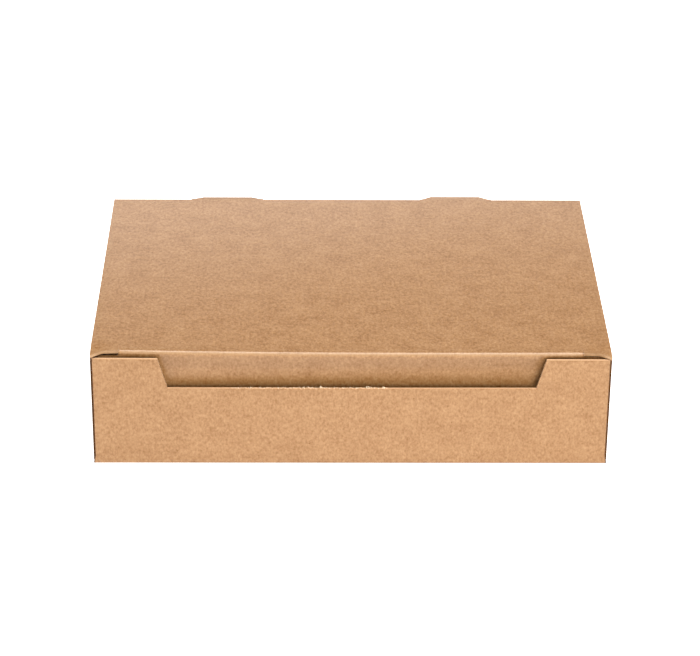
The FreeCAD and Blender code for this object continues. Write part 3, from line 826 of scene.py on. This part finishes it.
# %% Fibres
LOOSE = 420  # fibres spread evenly over the ragged stretch
TUFTS = (-28.0, -25.5, -18.0, 9.5, 19.5)  # where others stand in tufts
TUFT_COUNTS = (10, 10, 34, 14, 12)
TUFT_SPREAD = 0.45
LOOSE_HEIGHT = (2.0, 0.2)  # shape and scale of a gamma distribution, which has a few tall ones
TUFT_HEIGHT = (4.0, 0.22)
HEIGHT_LIMITS = (0.1, 1.6)
FIBRE_RADIUS = (0.1, 0.24)
ROOT = 0.15  # how deep a fibre starts in the board
ROOT_STRIP = (0.05, 0.7)  # how far behind the wall's face
LEANING = 0.35  # standard deviation of how far a tip leans, as a share of the height
KNEE = 0.6  # where a fibre bends, as a share of its height, and how thick it still is there


def fibres(seed=7):
    """Tapered three-sided slivers: a triangle of the foot's width, and a tip that leans as it rises."""
    rng = np.random.default_rng(seed)
    bunched = sum(TUFT_COUNTS)
    x = rng.uniform(*RAGGED, LOOSE)
    x = np.concatenate([x, np.repeat(TUFTS, TUFT_COUNTS) + rng.normal(0, TUFT_SPREAD, bunched)])
    tall = np.concatenate([rng.gamma(*LOOSE_HEIGHT, LOOSE), rng.gamma(*TUFT_HEIGHT, bunched)])
    tall = tall.clip(*HEIGHT_LIMITS)
    y = rng.uniform(-FACE + ROOT_STRIP[0], -FACE + ROOT_STRIP[1], len(x))
    foot = np.column_stack([x, y, np.full(len(x), CUTOUT_FLOOR - ROOT)])
    radius = rng.uniform(*FIBRE_RADIUS, len(x))
    around = rng.uniform(0, 2 * math.pi, len(x))[:, None] + np.array([0, 2, 4]) * math.pi / 3
    ring = np.stack([np.cos(around), np.sin(around), np.zeros_like(around)], 2) * radius[:, None, None]
    lean = rng.normal(0, LEANING, (len(x), 2)) * tall[:, None]
    tip = foot + np.column_stack([lean, tall + ROOT])
    bend = foot + (tip - foot) * KNEE + np.column_stack([-0.3 * lean, 0.1 * tall])
    points = np.concatenate([foot[:, None] + ring, bend[:, None] + ring * KNEE, tip[:, None]], 1)
    base = np.arange(len(x))[:, None] * 7
    walls = [base + np.array([[i, (i + 1) % 3, 3 + (i + 1) % 3, 3 + i]]) for i in range(3)]
    caps = [base + np.array([[3 + i, 3 + (i + 1) % 3, 6]]) for i in range(3)] + [base + np.array([[2, 1, 0]])]
    faces = np.concatenate(walls).tolist() + np.concatenate(caps).tolist()
    return points.reshape(-1, 3), faces


points, faces = fibres()
mesh = bpy.data.meshes.new("cutout_fibres")
mesh.from_pydata((points * MM).tolist(), [], faces)
mesh.shade_smooth()
fuzz = add_object("cutout_fibres", mesh)
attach(fuzz, "tray")
print(len(points) // 7, "fibres, up to", round(points[:, 2].max() - CUTOUT_FLOOR, 2), "mm tall")

# %% [markdown]
# ## Colours and nodes
#
# A screen colour is stored on a curve, but light adds up on a straight line, so every hex colour is
# turned to linear once, here. The second helper adds a node with its settings and its links, so that a
# material below reads as a list of what its surface is made of.


# %% Helpers for materials
def linear(hex_colour):
    """The linear colour of an sRGB hex value: c / 12.92 near black, else ((c + 0.055) / 1.055) ** 2.4."""
    srgb = np.array([int(hex_colour[i : i + 2], 16) for i in (1, 3, 5)]) / 255
    low, high = srgb / 12.92, ((srgb + 0.055) / 1.055) ** 2.4
    return (*np.where(srgb <= 0.04045, low, high), 1.0)


def add_node(tree, kind, *values, **named):
    """Adds a node. Values fill its inputs in order, and a name with a capital is that input's.

    A name in small letters is one of the node's settings. A value may also be another node, whose first
    output in use is linked, or one of its outputs.
    """
    node = tree.nodes.new("ShaderNode" + kind)
    for key in [key for key in named if key.islower()]:
        setattr(node, key, named.pop(key))
    inputs = {key.replace("_", " "): value for key, value in named.items()}
    for place, value in [*enumerate(values), *inputs.items()]:
        if isinstance(value, bpy.types.Node):
            value = next(output for output in value.outputs if output.enabled)
        if isinstance(value, bpy.types.NodeSocket):
            tree.links.new(value, node.inputs[place])
        else:
            node.inputs[place].default_value = value
    return node


def new_material(name, hex_colour):
    """An empty material, with the colour that the viewport shows."""
    material = bpy.data.materials.new(name)
    material.use_nodes = True
    material.node_tree.nodes.clear()
    material.diffuse_color = linear(hex_colour)
    return material


TONES = (0.3, 0.7)  # what a noise mostly lies between


def tinted(tree, hex_colour, noise, shades):
    """A colour that a noise takes from one share of its brightness to another."""
    shade = add_node(tree, "MapRange", noise, *TONES, *shades)
    return add_node(tree, "VectorMath", linear(hex_colour)[:3], Scale=shade, operation="SCALE")


print("middle grey in linear light:", round(linear("#808080")[0], 3))

# %% [markdown]
# ## Kraft liner
#
# Kraft liner is unbleached softwood pulp, pressed but not coated. It is matt with a faint sheen at a low
# angle, and never one colour: short fibres catch the light or lie in shade, a few bark specks stay dark,
# and the pulp itself is cloudy. Each of these is one noise with its real size. They are laid on the flat
# sheet, so that they run on round the folds. The front and the rear fold are paler, partly for the liner
# that they stretched and partly as a painted highlight, and a band along each ear's front edge is a
# painted highlight too. The walls' side edges, the glued corners, the bottom folds and the flap's top
# are drawn darker, as painted shade.

# %% Material: kraft liner
KRAFT_DARK = "#6E4208"  # a shaded gap between fibres
KRAFT_PALE = "#A67F56"  # a fibre that catches the light
STRETCHED_AND_HIGHLIGHT = "#AE9170"  # liner drawn thin over a fold, also the painted highlight on the folds and the ears' edges
SHADE_BROWN = "#43260C"  # painted shade, in corners, slits, bottom folds and on the flap's top
GRAIN = (1.2, 0.95)  # size in mm and weight of the mottle that the fibres make
STREAK = (2.2, 0.8)  # and of strands of them
CLOUD = (14.0, 0.5)  # and of the pulp's cloudiness
DRAWN = (1.0, 0.7, 1.0)  # fibres and strands lie along the paper machine's run, so they are longer along Y
LID_CLOUDY = 1.35  # how much stronger strands and clouds show on the lid, which has been handled most
SPECK = 2.6  # mm, between bark specks
SPECK_TONES = (0.70, 0.78)  # of the noise, from where a speck starts to where it is darkest
SPECK_SHADE = -0.4
PALE_FROM = (0.15, 0.9)  # tone from which a fold starts to look paler, and looks so in full
PALE_SHARE = 0.35  # of that paler colour, there
SHADE_SHARE = 0.88  # of the painted shade colour, where that shade is full


def kraft_liner():
    """Uncoated kraft paper: a mix of two browns, whose share is three mottles added up, less the specks."""
    material = new_material("kraft_liner", "#A0764F")
    tree = material.node_tree
    flat = add_node(tree, "Attribute", attribute_name="flat").outputs["Vector"]
    drawn = add_node(tree, "Mapping", Vector=flat, Scale=DRAWN)

    def mottle(vector, size, weight, so_far, detail=2.0):
        """Adds a noise, about its middle and times its weight, to the mottles so far."""
        noise = add_node(tree, "TexNoise", Vector=vector, Scale=1 / size, Detail=detail, Roughness=0.6)
        centred = add_node(tree, "Math", noise, 0.5, operation="SUBTRACT")
        return add_node(tree, "Math", centred, weight, so_far, operation="MULTIPLY_ADD")

    broad = mottle(drawn, *STREAK, 0.0)
    broad = mottle(flat, *CLOUD, broad, detail=4.0)
    flat_y = add_node(tree, "SeparateXYZ", flat).outputs["Y"]
    lid_middle = LID_SHIFT + (FRONT_FOLD + CREASE_LINE) / 2
    lid_half = (FRONT_FOLD - CREASE_LINE) / 2
    on_lid = add_node(tree, "Math", flat_y, lid_middle, lid_half, operation="COMPARE")
    gain = add_node(tree, "Math", on_lid, LID_CLOUDY - 1, 1.0, operation="MULTIPLY_ADD")
    fine = mottle(drawn, *GRAIN, 0.5)
    share = add_node(tree, "Math", broad, gain, fine, operation="MULTIPLY_ADD")
    speck = add_node(tree, "TexNoise", Vector=flat, Scale=1 / SPECK, Detail=2.0, Roughness=0.5)
    dark = add_node(tree, "MapRange", speck, *SPECK_TONES, 0.0, SPECK_SHADE)
    share = add_node(tree, "Math", share, dark, operation="ADD", use_clamp=True)
    paper = add_node(tree, "Mix", share, data_type="RGBA", A=linear(KRAFT_DARK), B=linear(KRAFT_PALE))
    # Above 0 the tone mixes in the paler colour, partly a painted highlight.
    stretch_light_and_shade = add_node(tree, "Attribute", attribute_name="stretch_and_painted_light").outputs["Fac"]
    paler = add_node(tree, "MapRange", stretch_light_and_shade, *PALE_FROM, 0.0, PALE_SHARE)
    paper = add_node(tree, "Mix", paler, data_type="RGBA", A=paper, B=linear(STRETCHED_AND_HIGHLIGHT))
    # Below 0 the tone mixes in the dark brown: painted shade.
    painted_shade = add_node(tree, "MapRange", stretch_light_and_shade, -1.0, 0.0, SHADE_SHARE, 0.0)
    paper = add_node(tree, "Mix", painted_shade, data_type="RGBA", A=paper, B=linear(SHADE_BROWN))
    bump = add_node(tree, "Bump", Height=share, Strength=0.4, Distance=0.00006)
    shader = add_node(tree, "BsdfPrincipled", Base_Color=paper, Roughness=0.36, IOR=1.48, Normal=bump)
    add_node(tree, "OutputMaterial", shader)
    return material


LINER = kraft_liner()
print("kraft liner:", len(LINER.node_tree.nodes), "nodes")

# %% [markdown]
# ## Raw edge
#
# A cut edge shows what the board is made of: two liners and between them the fluting, a wavy paper that
# keeps them apart. Cut across the flutes it is a row of small open arches, whose dark inside is painted
# shade here. Cut along them there is no wave, only a torn web close behind the cut, which looks filled.
# One formula gives both: the fluting's depth is a sine of the flat Y, because the flutes run along X, and
# the waves attribute says how dark the painted shade in the hollows is.

# %% Material: raw corrugated edge
FLUTE = 3.3  # mm from crest to crest, of E-flute
LINER_SHARE = 0.16  # of the board's thickness
FLUTE_EDGE = (0.09, 0.16)  # distances from the wavy paper's middle over which the hollow starts
LINER_EDGE = 0.03  # over which a hollow ends at the liner
WAVES_FROM = (0.2, 0.8)  # how squarely the cut has to run for the hollows to deepen, and to be deepest
HOLLOW_SHADE_DEPTH = (0.22, 0.9)  # how dark the painted shade in a hollow is, cut along the flutes and cut across them
TORN = 0.7  # mm, between torn fibres
RAW = "#CBA179"
# The hollows' colour is painted shade inside the open flutes.
HOLLOW_SHADE = "#3A2415"


def raw_edge():
    """Cut corrugated board: pale liners, a sine of fluting, and painted shade in the hollows, darkest across
    the flutes.
    """
    material = new_material("raw_board_edge", RAW)
    tree = material.node_tree
    flat = add_node(tree, "Attribute", attribute_name="flat").outputs["Vector"]
    waves = add_node(tree, "Attribute", attribute_name="waves").outputs["Fac"]
    place = add_node(tree, "SeparateXYZ", flat).outputs
    turn = add_node(tree, "Math", place["Y"], 2 * math.pi / FLUTE, operation="MULTIPLY")
    sine = add_node(tree, "Math", turn, operation="SINE")
    room = 0.5 - LINER_SHARE
    crest = add_node(tree, "Math", sine, room, 0.5, operation="MULTIPLY_ADD")
    apart = add_node(tree, "Math", place["Z"], crest, operation="SUBTRACT")
    gap = add_node(tree, "Math", apart, operation="ABSOLUTE")
    off_flute = add_node(tree, "MapRange", gap, *FLUTE_EDGE, 0.0, 1.0)
    middle = add_node(tree, "Math", place["Z"], 0.5, operation="SUBTRACT")
    out = add_node(tree, "Math", middle, operation="ABSOLUTE")
    between = add_node(tree, "MapRange", out, room, room + LINER_EDGE, 1.0, 0.0)
    hollow = add_node(tree, "Math", off_flute, between, operation="MULTIPLY")
    depth = add_node(tree, "MapRange", waves, *WAVES_FROM, *HOLLOW_SHADE_DEPTH)
    dark = add_node(tree, "Math", hollow, depth, operation="MULTIPLY")
    torn = add_node(tree, "TexNoise", Vector=flat, Scale=1 / TORN, Detail=3.0)
    fibre = tinted(tree, RAW, torn, (0.86, 1.1))
    colour = add_node(tree, "Mix", dark, data_type="RGBA", A=fibre, B=linear(HOLLOW_SHADE))
    bump = add_node(tree, "Bump", Height=torn, Strength=0.5, Distance=0.0002)
    shader = add_node(tree, "BsdfPrincipled", Base_Color=colour, Roughness=0.85, IOR=1.4, Normal=bump)
    add_node(tree, "OutputMaterial", shader)
    return material


EDGE = raw_edge()
print("raw edge:", len(EDGE.node_tree.nodes), "nodes")

# %% [markdown]
# ## Liner painted as shade
#
# The walls' side edges, a glued corner's fold where it turns in behind the front or the back wall, and the
# ends of the front fold in the slits lie in narrow crevices in shade. Their faces get a dark brown with
# hardly any sheen: painted shade. It draws the thin brown line down each corner of the box.


# %% Material: liner painted as shade
def shade_liner():
    """Painted shade: a dark brown in darker and lighter strands, with hardly any shine."""
    material = new_material("painted_shade_liner", SHADE_BROWN)
    tree = material.node_tree
    flat = add_node(tree, "Attribute", attribute_name="flat").outputs["Vector"]
    strands = add_node(tree, "TexNoise", Vector=flat, Scale=1 / STREAK[0], Detail=2.0)
    colour = tinted(tree, SHADE_BROWN, strands, (0.7, 1.4))
    shader = add_node(tree, "BsdfPrincipled", Base_Color=colour, Roughness=0.95, Specular_IOR_Level=0.1)
    add_node(tree, "OutputMaterial", shader)
    return material


SHADE_LINER = shade_liner()
for piece in (tray, lid, crease):
    for material in (LINER, EDGE, SHADE_LINER):
        piece.data.materials.append(material)
print("slots:", [material.name for material in tray.data.materials])

# %% [markdown]
# The loose fibres are single threads of the same pulp. They have no place on the flat sheet, so their
# tone comes from where they stand, through Object coordinates.

# %% Material: loose fibre
THREAD = "#F0D9BA"
THREAD_PATCH = 1 / 0.9  # mm, over which the tone changes


def loose_fibre():
    """Pale pulp fibre, a little lighter or darker from one to the next."""
    material = new_material("loose_pulp_fibre", THREAD)
    tree = material.node_tree
    place = add_node(tree, "TexCoord").outputs["Object"]
    tone = add_node(tree, "TexNoise", Vector=place, Scale=1 / (THREAD_PATCH * MM), Detail=1.0)
    colour = tinted(tree, THREAD, tone, (0.8, 1.15))
    shader = add_node(tree, "BsdfPrincipled", Base_Color=colour, Roughness=0.9, IOR=1.4)
    add_node(tree, "OutputMaterial", shader)
    return material


fuzz.data.materials.append(loose_fibre())
print("materials:", sorted(m.name for m in bpy.data.materials if m.users))

# %% [markdown]
# ## Floor and light
#
# The box is shown as in a shop: on a white floor that runs out of view and glows a little, so that it
# stays white and softens the shade at the foot of the box. A white world gives the even base. The front
# softbox hangs over the camera, and the top one over the lid. A low one from the right lights the flap in
# the cut-out. It stays out of reflections, because from behind it would burn a highlight on the lid. A thin
# one behind skims the lid, where uncoated paper shows its sheen.

# %% Floor
FLOOR_HALF = 6.0  # m
FLOOR_GLOW = 1.44
corners = [(x * FLOOR_HALF, y * FLOOR_HALF, 0) for x, y in ((-1, -1), (1, -1), (1, 1), (-1, 1))]
floor_mesh = bpy.data.meshes.new("floor")
floor_mesh.from_pydata(corners, [], [(0, 1, 2, 3)])
floor = add_object("floor", floor_mesh)
paper_roll = new_material("white_paper_roll", "#FAFAFA")
roll_tree = paper_roll.node_tree
roll = add_node(
    roll_tree,
    "BsdfPrincipled",
    Base_Color=linear("#BCBCBC"),
    Roughness=0.9,
    Specular_IOR_Level=0.0,
    Emission_Color=(1, 1, 1, 1),
    Emission_Strength=FLOOR_GLOW,
)
add_node(roll_tree, "OutputMaterial", roll)
floor_mesh.materials.append(paper_roll)
print(f"a floor {2 * FLOOR_HALF:.0f} m square")

# %% Lights
WORLD_GLOW = 0.16
SOFTBOXES = (  # name, place, target, width and height in metres, power in watts
    ("front_softbox", (0.3, -1.5, 1.62), (0, -0.05, 0.04), (0.9, 0.9), 15.0),
    ("top_softbox", (0.05, 0.0, 1.7), (0, 0, 0.07), (1.2, 1.2), 42.0),
    ("low_softbox", (0.55, -1.7, 0.45), (0, -0.05, 0.05), (0.9, 0.6), 25.0),
    ("rear_softbox", (-0.05, 0.34, 0.18), (0, 0.11, 0.07), (0.9, 0.08), 0.6),
)
scene = bpy.context.scene
world = bpy.data.worlds.new("white_studio")
scene.world = world
world.use_nodes = True
sky = world.node_tree.nodes["Background"]
sky.inputs["Color"].default_value = (1, 1, 1, 1)
sky.inputs["Strength"].default_value = WORLD_GLOW
scene.view_settings.view_transform = "Standard"


def add_softbox(name, place, target, size, power):
    """A rectangular area light at a place, turned so that it faces a target. Size is its width and height."""
    light = bpy.data.lights.new(name, "AREA")
    light.shape = "RECTANGLE"
    light.size, light.size_y = size
    light.energy = power
    obj = add_object(name, light)
    obj.location = place
    obj.rotation_euler = (Vector(place) - Vector(target)).to_track_quat("Z", "Y").to_euler()
    return obj


for softbox in SOFTBOXES:
    add_softbox(*softbox)
scene.objects["low_softbox"].visible_glossy = False

# %% [markdown]
# ## Camera
#
# A long lens from well back and above: the lid's sides converge only a little. The camera stands slightly
# left of the middle and is a hair off level, and both are kept.

# %% Camera
LENS = 137.1  # mm, on a sensor 36 mm wide
CAMERA_PLACE = (-0.02427, -1.50286, 0.83621)
CAMERA_TURN = -0.954  # degrees round the upright
CAMERA_DOWN = 28.05  # degrees below level
CAMERA_ROLL = 0.551  # degrees round its own axis
camera_data = bpy.data.cameras.new("camera")
camera_data.lens = LENS
camera_data.sensor_width = 36
camera_data.clip_start = 0.05
camera_data.clip_end = 50
camera = add_object("camera", camera_data)
turn = Matrix.Rotation(math.radians(CAMERA_TURN), 4, "Z")
look_down = Matrix.Rotation(math.radians(90 - CAMERA_DOWN), 4, "X")
roll_round = Matrix.Rotation(math.radians(CAMERA_ROLL), 4, "Z")
camera.matrix_world = Matrix.Translation(CAMERA_PLACE) @ turn @ look_down @ roll_round
scene.camera = camera
print("camera at", [round(c, 3) for c in camera.location])
